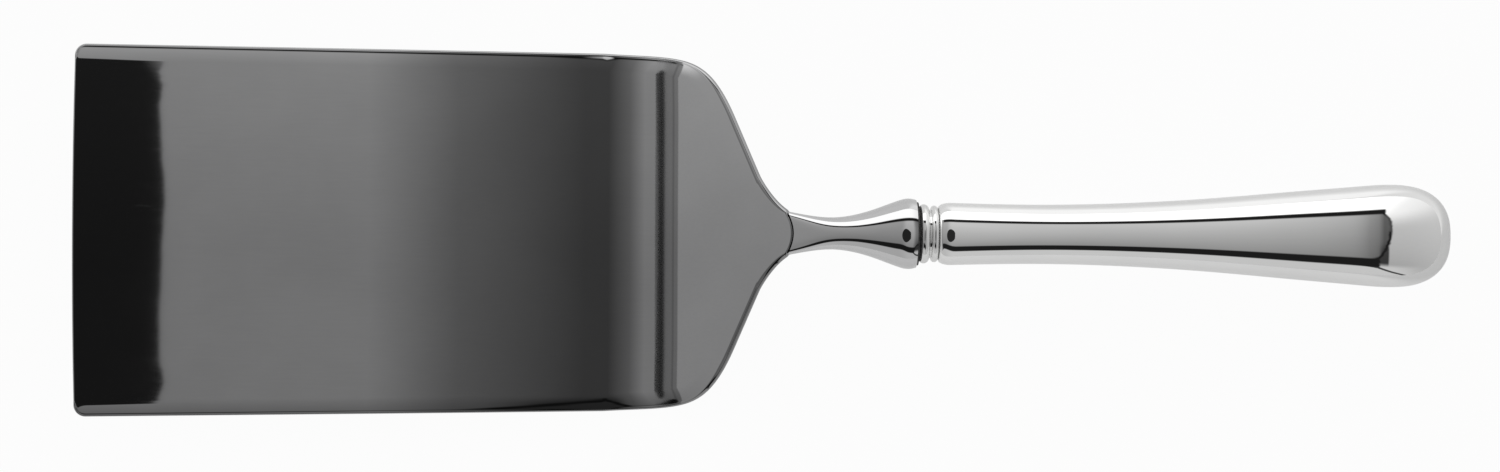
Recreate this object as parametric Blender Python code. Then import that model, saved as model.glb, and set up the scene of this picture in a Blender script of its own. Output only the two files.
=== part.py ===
"""Lasagna server: a cranked sheet-steel blade on a forged bolster, in a hollow silver handle.

Every piece is modelled along the handle's axis, which runs along X from the middle of the
server's length, with the blade towards -X. The whole is then tilted so that it stands as it
does on a table, on the blade's heel and on the underside of the handle's end.
"""
from bisect import bisect_right
from math import cos, pi, radians, sin, sqrt, tan

import bmesh
import bpy
import numpy as np
from mathutils import Matrix, Vector

# Driving dimensions of the blade, in metres and degrees
OVERALL_LENGTH = 0.254
BLADE_FRONT_HALF = 0.03435
BLADE_HEEL_HALF = 0.0332
FRONT_THICKNESS = 0.0011
HEEL_THICKNESS = 0.0016
FRONT_CORNER_RADIUS = 0.0022
FRONT_EDGE_BOW = 0.0004
DRESSED_WIDTH = 0.00276
DRESSED_DROP = 0.0006
DRESSED_FADE = 0.0090
DRESSED_SHARE = 0.5
CROWN_LENGTH = 0.0493
HEEL_EASE_LENGTH = 0.0099
HEEL_BEND_RADIUS = 0.0100
FRONT_SLOPE = -1.6
CROWN_SLOPE = -6.9
HEEL_SLOPE = 1.3
RAMP_SLOPE = 32.2
RAMP_START_X = -0.0140
TONGUE_TIP_X = 0.0056
TONGUE_TIP_Z = 0.0006
TONGUE_HALF = 0.00402
TONGUE_END_RADIUS = 0.006

# The blade's shoulder in plan: where the sides start to draw in, the round shoulder, the straight
# flank, and the hollow that runs into the tongue
SHOULDER_START = (-0.0290, BLADE_HEEL_HALF)
SHOULDER_HANDLES = ((-0.0145, 0.03235), (-0.0103, 0.0339))
FLANK_TOP = (-0.0050, 0.0211)
FLANK_END = (-0.0006, 0.0106)
HOLLOW_HANDLES = ((-0.0004, 0.0101), (0.00205, 0.00555))
TONGUE_SIDE = (0.0049, TONGUE_HALF)

# Driving dimensions of the bolster along the neck and bell: half-widths, then the heights of its top
# and underside and how square its section is, then the palm under the blade's tongue
NECK_OUTLINE = (
    (0.0038, 0.00419),
    (0.0046, 0.00400),
    (0.0062, 0.00368),
    (0.0091, 0.00320),
    (0.0121, 0.00295),
    (0.0150, 0.00315),
    (0.0209, 0.00470),
    (0.0250, 0.00618),
    (0.0258, 0.00640),
    (0.0266, 0.00648),
    (0.0274, 0.00640),
    (0.0280, 0.00622),
)
NECK_TOP = (
    (0.0038, 0.00116),
    (0.0091, 0.00246),
    (0.0150, 0.00392),
    (0.0209, 0.00537),
    (0.0240, 0.00613),
    (0.02455, 0.006266),
    (0.02555, 0.006451),
    (0.02656, 0.006534),
    (0.0275, 0.006554),
    (0.0280, 0.00654),
)
NECK_UNDERSIDE = (
    (0.0038, -0.00360),
    (0.0046, -0.00350),
    (0.0091, -0.00300),
    (0.0121, -0.00290),
    (0.0150, -0.00310),
    (0.0209, -0.00455),
    (0.0250, -0.00600),
    (0.0258, -0.00632),
    (0.0266, -0.00645),
    (0.0274, -0.00640),
    (0.0280, -0.00622),
)
NECK_SQUARENESS = ((0.0038, 5.0), (0.0060, 4.0), (0.0090, 2.8), (0.0130, 2.15), (0.0170, 2.0))
PALM_OUTLINE = ((-0.0072, 0.0022), (-0.0066, 0.0036), (-0.0045, 0.0046), (0.0, 0.0043), (0.0040, 0.0040))
PALM_DEPTH = ((-0.0072, 0.0006), (-0.0045, 0.0011), (0.0, 0.0016), (0.0040, 0.0017))
PALM_STATIONS = (-0.0072, -0.0069, -0.0064, -0.0056, -0.0045, -0.0025, 0.0, 0.0015, 0.0030)
PALM_SQUARENESS = 2.6
SEAT_CUT_LENGTH = 0.020
SEAT_CUT_HEIGHT = 0.012
TANG_HALF_WIDTH = 0.0022
TANG_HALF_HEIGHT = 0.0016
TANG_TIP_SHARE = 0.7
TANG_POINT_SHARE = 0.5
TANG_POINT_LENGTH = 0.001
TANG_END_X = 0.082
TANG_SQUARENESS = 5.0

# Driving dimensions of the collar, its two bead rings (start, end, crest radius) and the handle
COLLAR_NECK_RADIUS = 0.0037
COLLAR_SPIGOT_RADIUS = 0.0044
COLLAR_BORE_RADIUS = 0.0030
COLLAR_STEP_X = 0.0350
COLLAR_END_X = 0.0410
FRONT_BEAD = (0.0286, 0.0304, 0.00543)
REAR_BEAD = (0.0307, 0.0320, 0.00520)
HANDLE_OUTLINE = (
    (0.0345, 0.00571),
    (0.0493, 0.00545),
    (0.0658, 0.00580),
    (0.0824, 0.00678),
    (0.0990, 0.00820),
    (0.1100, 0.00912),
    (0.1155, 0.00945),
)
HANDLE_HEIGHT = (
    (0.0351, 0.00549),
    (0.0493, 0.00583),
    (0.0658, 0.00624),
    (0.0824, 0.00678),
    (0.0990, 0.00741),
    (0.1070, 0.00771),
    (0.1125, 0.00783),
)
HANDLE_START_X = 0.0323
HANDLE_LIP_HALF = 0.0047
HANDLE_LIP_STEPS = (0.0, 0.0002, 0.0007, 0.0014, 0.0024)
PLAN_END_SQUARENESS = 2.5
SIDE_END_SQUARENESS = 2.0
SHELL_WALL = 0.0006
FILLER_START_X = 0.0416
FIT_GAP = 0.0003

# How finely the curves are divided
SHARP_ANGLE = 35
FLAT_STEPS = (1.0, 0.5, 0.0, -0.5, -1.0)
DRESSED_STEPS = (2.0, 1.7, 1.4)
EDGE_STEPS = 3
EDGE_PROBE = 0.0001
LIP_PROBE = 0.00001
STEEPEST_EDGE = 2.5
BOW_PASSES = 2
BLADE_ROWS = (26, 8, 4, 8)
FRONT_ROWS = 4
FRONT_CORNER_STEPS = (1.3, 0.85, 0.55, 0.30)
FRONT_EDGE_ROWS = ((0.15, 0.75), (0.0, 0.35))
SHOULDER_STEPS = 24
HOLLOW_STEPS = 12
NECK_ROWS = 18
BELL_ROWS = 7
SEAT_ARC_STEPS = 24
RING_POINTS = 32
SHELL_STEPS = 16
SHELL_ROWS = 20
FILLER_ROWS = 14
BEAD_STEPS = 6
DOME_STEPS = (0.2, 0.38, 0.54, 0.68, 0.8, 0.89, 0.95, 0.985, 0.998)
STEEPEST_TILT = 6
TILT_HALVINGS = 40

# Finishes: base colour, roughness, metallic
POLISHED_STEEL = ((0.60, 0.60, 0.61), 0.10, 1.0)
POLISHED_SILVER = ((0.92, 0.92, 0.91), 0.08, 1.0)
CEMENT = ((0.48, 0.45, 0.41), 0.85, 0.0)

# Values worked out from the driving dimensions
HALF_LENGTH = OVERALL_LENGTH / 2
RAMP_LENGTH = (TONGUE_TIP_X - RAMP_START_X) / cos(radians(RAMP_SLOPE))
HEEL_BEND_LENGTH = HEEL_BEND_RADIUS * radians(RAMP_SLOPE - HEEL_SLOPE)
BELL_X = NECK_TOP[4][0]
BOLSTER_FACE_X = NECK_OUTLINE[-1][0]
COLLAR_START_X = BOLSTER_FACE_X + FIT_GAP
HANDLE_BODY_X = HANDLE_HEIGHT[0][0]
HANDLE_DOME_X = HANDLE_HEIGHT[-1][0]
TANG_CAVITY_END_X = TANG_END_X + 2 * FIT_GAP


def clear_scene():
    """Start from an empty scene."""
    for item in list(bpy.data.objects):
        bpy.data.objects.remove(item, do_unlink=True)


def finish(name, look):
    """A Principled material with the piece's colour, roughness and metallic value."""
    colour, roughness, metallic = look
    material = bpy.data.materials.new(name + "_finish")
    material.use_nodes = True
    shader = material.node_tree.nodes["Principled BSDF"]
    shader.inputs["Base Color"].default_value = (*colour, 1.0)
    shader.inputs["Roughness"].default_value = roughness
    shader.inputs["Metallic"].default_value = metallic
    return material


def add_piece(name, bm, look, stand):
    """Turn a bmesh into a named, smooth-shaded object on the stand."""
    bmesh.ops.recalc_face_normals(bm, faces=bm.faces)
    mesh = bpy.data.meshes.new(name)
    bm.to_mesh(mesh)
    bm.free()
    mesh.shade_smooth()
    mesh.set_sharp_from_angle(angle=radians(SHARP_ANGLE))
    mesh.materials.append(finish(name, look))
    piece = bpy.data.objects.new(name, mesh)
    piece.parent = stand
    bpy.context.collection.objects.link(piece)
    return piece


def spread(start, end, count):
    """Evenly spaced values from start to end, both included."""
    return [start + (end - start) * i / (count - 1) for i in range(count)]


def smooth_curve(points, end_slope=None):
    """A cubic spline through the points, straight at its ends or with a given last slope."""
    xs, ys = np.array(points).T
    count = len(xs)
    steps = np.diff(xs)
    chords = np.diff(ys) / steps
    left, right = np.zeros((count, count)), np.zeros(count)
    left[0, :2], right[0] = (2, 1), 3 * chords[0]
    left[-1, -2:], right[-1] = (1, 2), 3 * chords[-1]
    if end_slope is not None:
        left[-1, -2:], right[-1] = (0, 1), end_slope
    for i in range(1, count - 1):
        left[i, i - 1:i + 2] = steps[i], 2 * (steps[i - 1] + steps[i]), steps[i - 1]
        right[i] = 3 * (steps[i] * chords[i - 1] + steps[i - 1] * chords[i])
    slopes = np.linalg.solve(left, right)

    def value(x):
        x = min(max(x, xs[0]), xs[-1])
        i = min(bisect_right(xs, x) - 1, count - 2)
        t = (x - xs[i]) / steps[i]
        ease = t * t * (3 - 2 * t)
        rise = t * (1 - t) ** 2 * slopes[i] - t * t * (1 - t) * slopes[i + 1]
        return float(ys[i] + (ys[i + 1] - ys[i]) * ease + steps[i] * rise)

    return value


def bezier(start, handle_a, handle_b, end, steps):
    """Points along a cubic Bezier curve in the plane, without the last one."""
    spots = (start, handle_a, handle_b, end)
    points = []
    for i in range(steps):
        t = i / steps
        weights = ((1 - t) ** 3, 3 * t * (1 - t) ** 2, 3 * t * t * (1 - t), t**3)
        points.append(tuple(sum(w * p[k] for w, p in zip(weights, spots)) for k in range(2)))
    return points


def signed_power(value, power):
    """A power that keeps the value's sign."""
    return abs(value) ** power * (1 if value > 0 else -1)


def ring(x, half_width, half_height, centre_z=0.0, squareness=2.0):
    """A closed superellipse across the axis, as a list of points."""
    power = 2 / squareness
    points = []
    for i in range(RING_POINTS):
        turn = 2 * pi * (i + 0.5) / RING_POINTS
        y = half_width * signed_power(cos(turn), power)
        z = half_height * signed_power(sin(turn), power)
        points.append(Vector((x, y, centre_z + z)))
    return points


def skin(bm, rings, wrap=False):
    """Join a row of closed rings with quads, and the last ring with the first if they wrap."""
    rows = [[bm.verts.new(point) for point in points] for points in rings]
    pairs = list(zip(rows, rows[1:]))
    if wrap:
        pairs.append((rows[-1], rows[0]))
    for near, far in pairs:
        for i in range(len(near)):
            bm.faces.new((near[i - 1], near[i], far[i], far[i - 1]))
    return rows


def capped_skin(rings):
    """A closed body skinned over rings, with flat ends."""
    bm = bmesh.new()
    rows = skin(bm, rings)
    bm.faces.new(rows[0])
    bm.faces.new(rows[-1])
    return bm


def turned(profile):
    """A closed ring turned round the axis from a closed profile of (x, radius) points."""
    bm = bmesh.new()
    skin(bm, [ring(x, radius, radius) for x, radius in profile], wrap=True)
    return bm


def blade_stretches():
    """Length, first slope and last slope of each stretch of the blade, from the tongue's tip."""
    return (
        (RAMP_LENGTH, RAMP_SLOPE, RAMP_SLOPE),
        (HEEL_BEND_LENGTH, RAMP_SLOPE, HEEL_SLOPE),
        (HEEL_EASE_LENGTH, HEEL_SLOPE, CROWN_SLOPE),
        (CROWN_LENGTH, CROWN_SLOPE, FRONT_SLOPE),
        (OVERALL_LENGTH, FRONT_SLOPE, FRONT_SLOPE),
    )


def blade_point(distance):
    """Place and slope of the sheet's middle at a distance from the tongue's tip."""
    x, z = TONGUE_TIP_X, TONGUE_TIP_Z
    for length, first, last in blade_stretches():
        a, b = radians(first), radians(last)
        run = min(distance, length)
        angle = a + (b - a) * run / length
        if first == last:
            x -= run * cos(a)
            z -= run * sin(a)
        else:
            radius = length / (b - a)
            x -= radius * (sin(angle) - sin(a))
            z += radius * (cos(angle) - cos(a))
        distance -= run
        if distance <= 0:
            break
    return x, z, angle


def bent_length():
    """Length of the sheet from the tongue's tip to where its flat front begins."""
    return sum(length for length, _, _ in blade_stretches()[:-1])


def blade_length():
    """Length of the sheet from the tongue's tip to the front edge."""
    x, _, _ = blade_point(bent_length())
    return bent_length() + (x + HALF_LENGTH) / cos(radians(FRONT_SLOPE))


def blade_thickness(distance):
    """The sheet keeps its thickness over the ramp and heel and thins evenly to the front edge."""
    heel = RAMP_LENGTH + HEEL_BEND_LENGTH
    share = max(0.0, (distance - heel) / (blade_length() - heel))
    return HEEL_THICKNESS + (FRONT_THICKNESS - HEEL_THICKNESS) * share


def blade_outline():
    """Half the blade's width in plan, as a function of x."""
    points = [(-HALF_LENGTH, BLADE_FRONT_HALF)]
    points += bezier(SHOULDER_START, *SHOULDER_HANDLES, FLANK_TOP, SHOULDER_STEPS)
    points.append(FLANK_TOP)
    points += bezier(FLANK_END, *HOLLOW_HANDLES, TONGUE_SIDE, HOLLOW_STEPS)
    points += [TONGUE_SIDE, (TONGUE_TIP_X, TONGUE_HALF)]
    xs = [p[0] for p in points]

    def half_width(x):
        corner = FRONT_CORNER_RADIUS - max(x + HALF_LENGTH - FRONT_EDGE_BOW, 0.0)
        x = min(max(x, xs[0]), xs[-1])
        i = min(bisect_right(xs, x) - 1, len(xs) - 2)
        (x0, y0), (x1, y1) = points[i], points[i + 1]
        half = y0 + (y1 - y0) * (x - x0) / (x1 - x0)
        if corner > 0:
            half -= FRONT_CORNER_RADIUS - sqrt(FRONT_CORNER_RADIUS**2 - corner**2)
        return half

    return half_width


def blade_rows():
    """Distance of each cross row from the tongue's tip, with its share of the full thickness."""
    length = blade_length()
    stops = [0.0]
    for stretch, rows in zip(blade_stretches()[:-1], BLADE_ROWS):
        stops += spread(stops[-1], stops[-1] + stretch[0], rows + 1)[1:]
    corner = [length - FRONT_CORNER_RADIUS * share for share in FRONT_CORNER_STEPS]
    stops += spread(stops[-1], corner[0], FRONT_ROWS)[1:] + corner[1:]
    edge = [(length - FRONT_THICKNESS * back, full) for back, full in FRONT_EDGE_ROWS]
    return [(stop, 1.0) for stop in stops] + edge


def blade_loop():
    """Points round one cross row: place across, reach over the edge, level, and rise over the edge.

    The place runs from -1 to 1 over the flat, and on to 2 on each side where the edge is dressed.
    """
    places = (*DRESSED_STEPS, *FLAT_STEPS, *(-step for step in reversed(DRESSED_STEPS)))
    turns = spread(pi / 2, -pi / 2, EDGE_STEPS + 2)[1:-1]
    top = [(place, 0.0, 1.0, 1 - max(abs(place) - 1, 0.0) ** 2) for place in places]
    left = [(-2.0, -cos(turn), sin(turn), 0.0) for turn in turns]
    bottom = [(-place, 0.0, -1.0, 0.0) for place in places]
    right = [(2.0, cos(turn), -sin(turn), 0.0) for turn in turns]
    return top, left, bottom, right


def dressing(row, half, stretch):
    """Width and depth of the dressed edge at a cross row. It fades out up the ramp."""
    fade = min(max((row - RAMP_LENGTH) / DRESSED_FADE + 1, 0.0), 1.0)
    full_width = DRESSED_WIDTH * stretch
    width = min(full_width, DRESSED_SHARE * half)
    return width, DRESSED_DROP * width / full_width * fade * fade * (3 - 2 * fade)


def end_bow(row, side):
    """How far a row is set back at its sides: round at the tongue's tip, bowed at the front edge."""
    share = row / blade_length()
    tip = TONGUE_END_RADIUS - sqrt(TONGUE_END_RADIUS**2 - (side * TONGUE_HALF) ** 2)
    return tip * (1 - share) - FRONT_EDGE_BOW * side**2 * share


def blade_edge_stretch(x, half_width):
    """How much wider the edge is across the blade than square to its outline."""
    lean = abs(half_width(x + EDGE_PROBE) - half_width(x - EDGE_PROBE)) / (2 * EDGE_PROBE)
    return sqrt(1 + min(lean, STEEPEST_EDGE) ** 2)


def blade_row_points(row, fullness, half_width):
    """One cross row of the blade. The bow of a point is found from its share of the half-width."""
    points = []
    for place, reach, level, rise in sum(blade_loop(), []):
        across = min(max(place, -1.0), 1.0)
        bow = 0.0
        for _ in range(BOW_PASSES):
            x, z, angle = blade_point(row + bow)
            half, stretch = half_width(x), blade_edge_stretch(x, half_width)
            thick = blade_thickness(row + bow)
            width, drop = dressing(row, half, stretch)
            edge = (thick - drop) / 2
            flat = half - edge * stretch - width
            y = across * flat + (place - across) * width + reach * edge * stretch
            bow = end_bow(row, y / half)
        lift = edge - thick / 2 + fullness * (level * edge + rise * drop)
        points.append(Vector((x - lift * sin(angle), y, z + lift * cos(angle))))
    return points


def close_blade_end(bm, row):
    """Fill an end of the blade between the upper and the lower points of its last row."""
    parts = []
    for part in blade_loop():
        parts.append(row[:len(part)])
        row = row[len(part):]
    top, left, bottom, right = parts
    bottom = bottom[::-1]
    for i in range(len(top) - 1):
        bm.faces.new((top[i], top[i + 1], bottom[i + 1], bottom[i]))
    bm.faces.new((top[-1], *left, bottom[-1]))
    bm.faces.new((bottom[0], *right, top[0]))


def make_blade(stand):
    """Sheet blade: flat front, slight crown, heel bend, and a ramp that narrows to the tongue."""
    half_width = blade_outline()
    bm = bmesh.new()
    rows = skin(bm, [blade_row_points(row, full, half_width) for row, full in blade_rows()])
    close_blade_end(bm, rows[0])
    close_blade_end(bm, rows[-1])
    return add_piece("blade", bm, POLISHED_STEEL, stand)


def ramp_height(x):
    """Height of the middle of the sheet on the ramp."""
    return TONGUE_TIP_Z + (x - TONGUE_TIP_X) * tan(radians(RAMP_SLOPE))


def seat_drop():
    """Upright distance from the middle of the sheet down to the seat under it."""
    return (HEEL_THICKNESS / 2 + FIT_GAP) / cos(radians(RAMP_SLOPE))


def palm_rings():
    """The bolster's front end, under the ramp. Its top is cut away to form the seat."""
    outline = smooth_curve(PALM_OUTLINE)
    depth = smooth_curve(PALM_DEPTH)
    rings = []
    for x in PALM_STATIONS:
        top = ramp_height(x)
        bottom = top - seat_drop() - depth(x)
        rings.append(ring(x, outline(x), (top - bottom) / 2, (top + bottom) / 2, PALM_SQUARENESS))
    return rings


def neck_rings():
    """The neck, which climbs to the bell, up to the flat face that meets the collar."""
    outline = smooth_curve(NECK_OUTLINE)
    top_line = smooth_curve(NECK_TOP)
    underside = smooth_curve(NECK_UNDERSIDE)
    squareness = smooth_curve(NECK_SQUARENESS)
    stops = spread(NECK_OUTLINE[0][0], BELL_X, NECK_ROWS) + spread(BELL_X, BOLSTER_FACE_X, BELL_ROWS)[1:]
    rings = []
    for x in stops:
        top, bottom = top_line(x), underside(x)
        rings.append(ring(x, outline(x), (top - bottom) / 2, (top + bottom) / 2, squareness(x)))
    return rings


def tang_ring(x, share, clearance=0.0):
    """A section of the tang, or of the cavity that clears it."""
    half_width = TANG_HALF_WIDTH * share + clearance
    half_height = TANG_HALF_HEIGHT * share + clearance
    return ring(x, half_width, half_height, squareness=TANG_SQUARENESS)


def make_seat_cutter(stand):
    """Space for the blade's tongue: a round-ended block that stands square on the ramp."""
    radius = TONGUE_END_RADIUS + FIT_GAP
    arc = spread(-pi / 2, pi / 2, SEAT_ARC_STEPS + 1)
    outline = [(-SEAT_CUT_LENGTH, radius), (-SEAT_CUT_LENGTH, -radius)]
    outline += [(radius * cos(turn), radius * sin(turn)) for turn in arc]
    bm = bmesh.new()
    base = bm.faces.new([bm.verts.new((along, across, 0.0)) for along, across in outline])
    block = bmesh.ops.extrude_face_region(bm, geom=[base])
    raised = [item for item in block["geom"] if isinstance(item, bmesh.types.BMVert)]
    bmesh.ops.translate(bm, verts=raised, vec=(0.0, 0.0, SEAT_CUT_HEIGHT))
    slope = radians(RAMP_SLOPE)
    centre = Vector((TONGUE_TIP_X, 0.0, TONGUE_TIP_Z))
    centre -= TONGUE_END_RADIUS * Vector((cos(slope), 0.0, sin(slope)))
    centre -= (HEEL_THICKNESS / 2 + FIT_GAP) * Vector((-sin(slope), 0.0, cos(slope)))
    bm.transform(Matrix.Translation(centre) @ Matrix.Rotation(-slope, 4, "Y"))
    cutter = add_piece("tongue_seat_cutter", bm, POLISHED_STEEL, stand)
    cutter.hide_render = True
    cutter.display_type = "WIRE"
    return cutter


def make_bolster(stand):
    """Forged bolster: palm, neck, bell and tang in one, with the tongue's seat cut into it."""
    tang = [
        tang_ring(BOLSTER_FACE_X, 1.0),
        tang_ring(TANG_END_X - TANG_POINT_LENGTH, TANG_TIP_SHARE),
        tang_ring(TANG_END_X, TANG_POINT_SHARE),
    ]
    body = capped_skin(palm_rings() + neck_rings() + tang)
    bolster = add_piece("bolster", body, POLISHED_STEEL, stand)
    cut = bolster.modifiers.new("tongue_seat", "BOOLEAN")
    cut.operation = "DIFFERENCE"
    cut.solver = "EXACT"
    cut.object = make_seat_cutter(stand)
    return bolster


def make_collar(stand):
    """Turned sleeve with a wider spigot that the two halves of the handle close over."""
    profile = (
        (COLLAR_START_X, COLLAR_BORE_RADIUS),
        (COLLAR_START_X, COLLAR_NECK_RADIUS),
        (COLLAR_STEP_X, COLLAR_NECK_RADIUS),
        (COLLAR_STEP_X, COLLAR_SPIGOT_RADIUS),
        (COLLAR_END_X, COLLAR_SPIGOT_RADIUS),
        (COLLAR_END_X, COLLAR_BORE_RADIUS),
    )
    return add_piece("collar", turned(profile), POLISHED_SILVER, stand)


def make_bead_ring(name, bead, stand):
    """Half-round ring that sits on the collar."""
    start, end, crest = bead
    half = (end - start) / 2
    inner = COLLAR_NECK_RADIUS + FIT_GAP
    arc = spread(pi, 0.0, BEAD_STEPS + 1)
    round_side = [(start + half + half * cos(turn), crest - half + half * sin(turn)) for turn in arc]
    profile = [(start, inner), *round_side, (end, inner)]
    return add_piece(name, turned(profile), POLISHED_SILVER, stand)


def handle_curve(points, end_slope, squareness):
    """Half the handle's size along its length: a rounded mouth, a smooth body and a domed end."""
    body = smooth_curve(points, end_slope)
    (first_x, first), (last_x, last) = points[0], points[-1]
    first_slope = (body(first_x + LIP_PROBE) - first) / LIP_PROBE

    def half_size(x, inset):
        if x < first_x:
            back = (first_x - x) / (first_x - HANDLE_START_X)
            straight = first + first_slope * (x - first_x)
            return HANDLE_LIP_HALF + (straight - HANDLE_LIP_HALF) * sqrt(1 - back**2) - inset
        if x <= last_x:
            return body(x) - inset
        part = (x - last_x) / (HALF_LENGTH - last_x - inset)
        return (last - inset) * (1 - part**squareness) ** (1 / squareness)

    return half_size


def handle_section():
    """Half-width and half-height of the handle, at x and at an inset from its outside."""
    half_width = handle_curve(HANDLE_OUTLINE, 0.0, PLAN_END_SQUARENESS)
    half_height = handle_curve(HANDLE_HEIGHT, 0.0, SIDE_END_SQUARENESS)
    return lambda x, inset: (half_width(x, inset), half_height(x, inset))


def dome_stops(inset):
    """Places of the cross rows over the handle's rounded end."""
    reach = HALF_LENGTH - HANDLE_DOME_X - inset
    return [HANDLE_DOME_X + reach * share for share in DOME_STEPS]


def shell_rows(bm, side, inset, section):
    """Half rings over one surface of a handle half, from the mouth to the end."""
    lip = [HANDLE_START_X + step for step in HANDLE_LIP_STEPS]
    stops = lip + spread(HANDLE_BODY_X, HANDLE_DOME_X, SHELL_ROWS) + dome_stops(inset)
    seam = FIT_GAP / 2
    rows = []
    for x in stops:
        half, high = section(x, inset)
        row = []
        for turn in spread(0.0, pi, SHELL_STEPS + 1):
            level = seam + (high - seam) * abs(sin(turn))
            row.append(bm.verts.new((x, half * cos(turn), side * level)))
        rows.append(row)
    return rows


def make_handle_shell(name, side, stand):
    """One stamped half of the hollow handle, open along the seam and at the mouth."""
    section = handle_section()
    bm = bmesh.new()
    outer = shell_rows(bm, side, 0.0, section)
    inner = shell_rows(bm, side, SHELL_WALL, section)
    for rows in (outer, inner):
        for near, far in zip(rows, rows[1:]):
            for i in range(SHELL_STEPS):
                bm.faces.new((near[i], near[i + 1], far[i + 1], far[i]))
        bm.faces.new(rows[-1])
    for i in range(SHELL_STEPS):
        bm.faces.new((outer[0][i], outer[0][i + 1], inner[0][i + 1], inner[0][i]))
    for edge in (0, -1):
        for i in range(len(outer) - 1):
            bm.faces.new((outer[i][edge], outer[i + 1][edge], inner[i + 1][edge], inner[i][edge]))
    bm.faces.new((outer[-1][0], outer[-1][-1], inner[-1][-1], inner[-1][0]))
    return add_piece(name, bm, POLISHED_SILVER, stand)


def make_filler(stand):
    """Cement core that fills the handle, with the cavity that the tang is bedded in."""
    section = handle_section()
    inset = SHELL_WALL + FIT_GAP
    stops = spread(FILLER_START_X, HANDLE_DOME_X, FILLER_ROWS) + dome_stops(inset)
    outside = [ring(x, *section(x, inset)) for x in reversed(stops)]
    bed = 1.5 * FIT_GAP
    cavity = [tang_ring(FILLER_START_X, 1.0, bed), tang_ring(TANG_CAVITY_END_X, TANG_TIP_SHARE, bed)]
    return add_piece("handle_filler", capped_skin(outside + cavity), CEMENT, stand)


def lowest(points, tilt):
    """Height of the lowest point once the server is tilted about Y."""
    return min(p.z * cos(tilt) - p.x * sin(tilt) for p in points)


def stand_on_table(stand, pieces):
    """Tilt the server until its heel and its end are level, and set it on the ground plane."""
    points = [vertex.co.copy() for piece in pieces for vertex in piece.data.vertices]
    heel = [p for p in points if p.x < TONGUE_TIP_X]
    end = [p for p in points if p.x > HANDLE_BODY_X]
    low, high = 0.0, radians(STEEPEST_TILT)
    for _ in range(TILT_HALVINGS):
        tilt = (low + high) / 2
        if lowest(end, tilt) > lowest(heel, tilt):
            low = tilt
        else:
            high = tilt
    along = [p.x * cos(tilt) + p.z * sin(tilt) for p in points]
    stand.rotation_euler = (0.0, tilt, 0.0)
    stand.location = (-(min(along) + max(along)) / 2, 0.0, -lowest(points, tilt))


def build():
    """Make every piece and stand the assembly on the table."""
    clear_scene()
    stand = bpy.data.objects.new("stand", None)
    bpy.context.collection.objects.link(stand)
    pieces = [
        make_blade(stand),
        make_bolster(stand),
        make_collar(stand),
        make_bead_ring("front_bead_ring", FRONT_BEAD, stand),
        make_bead_ring("rear_bead_ring", REAR_BEAD, stand),
        make_handle_shell("upper_handle_shell", 1, stand),
        make_handle_shell("lower_handle_shell", -1, stand),
        make_filler(stand),
    ]
    stand_on_table(stand, pieces)


build()
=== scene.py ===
from bisect import bisect_right
from math import cos, pi, radians, sin, sqrt, tan

import bpy
import numpy as np
from mathutils import Matrix, Vector


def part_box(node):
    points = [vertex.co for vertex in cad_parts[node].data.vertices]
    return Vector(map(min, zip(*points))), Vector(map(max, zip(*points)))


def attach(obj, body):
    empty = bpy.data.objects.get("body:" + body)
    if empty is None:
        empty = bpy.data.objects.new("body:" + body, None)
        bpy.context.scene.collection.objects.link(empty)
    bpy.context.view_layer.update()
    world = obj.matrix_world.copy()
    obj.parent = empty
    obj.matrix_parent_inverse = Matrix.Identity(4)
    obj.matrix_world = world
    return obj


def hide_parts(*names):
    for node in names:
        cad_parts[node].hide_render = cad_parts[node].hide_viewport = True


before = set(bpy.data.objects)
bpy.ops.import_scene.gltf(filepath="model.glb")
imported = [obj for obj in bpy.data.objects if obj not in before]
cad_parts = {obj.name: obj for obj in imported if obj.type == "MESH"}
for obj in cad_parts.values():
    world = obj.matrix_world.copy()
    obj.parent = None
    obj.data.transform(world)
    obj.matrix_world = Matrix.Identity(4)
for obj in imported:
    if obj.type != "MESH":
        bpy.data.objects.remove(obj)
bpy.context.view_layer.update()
bpy.context.scene.view_settings.view_transform = "Standard"

# Blade
# One sheet of stainless steel, stamped to its outline, cranked at the heel and polished to a mirror.
# Its long edges are dressed down on the upper side, and its tongue is brazed into the bolster.
HALF_LENGTH = 0.127
FRONT_HALF_WIDTH = 0.03435
HEEL_HALF_WIDTH = 0.0332
FRONT_THICKNESS = 0.0011
HEEL_THICKNESS = 0.0016
FRONT_CORNER_RADIUS = 0.0022
FRONT_EDGE_BOW = 0.0004
FRONT_EDGE_ROUND = 0.00018
DRESSED_WIDTH = 0.00276
DRESSED_DROP = 0.0006
DRESSED_FADE = 0.0090
DRESSED_SHARE = 0.5
RAMP_START_X = -0.0140
TONGUE_TIP = (0.0056, 0.0006)
TONGUE_HALF_WIDTH = 0.00402
TONGUE_END_RADIUS = 0.0060
FRONT_SLOPE = -1.6
CROWN_SLOPE = -6.9
HEEL_SLOPE = 1.3
RAMP_SLOPE = 32.2
HEEL_BEND_RADIUS = 0.0100
HEEL_EASE_LENGTH = 0.0099
CROWN_LENGTH = 0.0493
SHOULDER = ((-0.0290, HEEL_HALF_WIDTH), (-0.0145, 0.03235), (-0.0103, 0.0339), (-0.0050, 0.0211))
HOLLOW = ((-0.0006, 0.0106), (-0.0004, 0.0101), (0.00205, 0.00555), (0.0049, TONGUE_HALF_WIDTH))
SHOULDER_STEPS = 60
HOLLOW_STEPS = 30
FRONT_RING_MIDDLE_X = 0.0295

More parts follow.
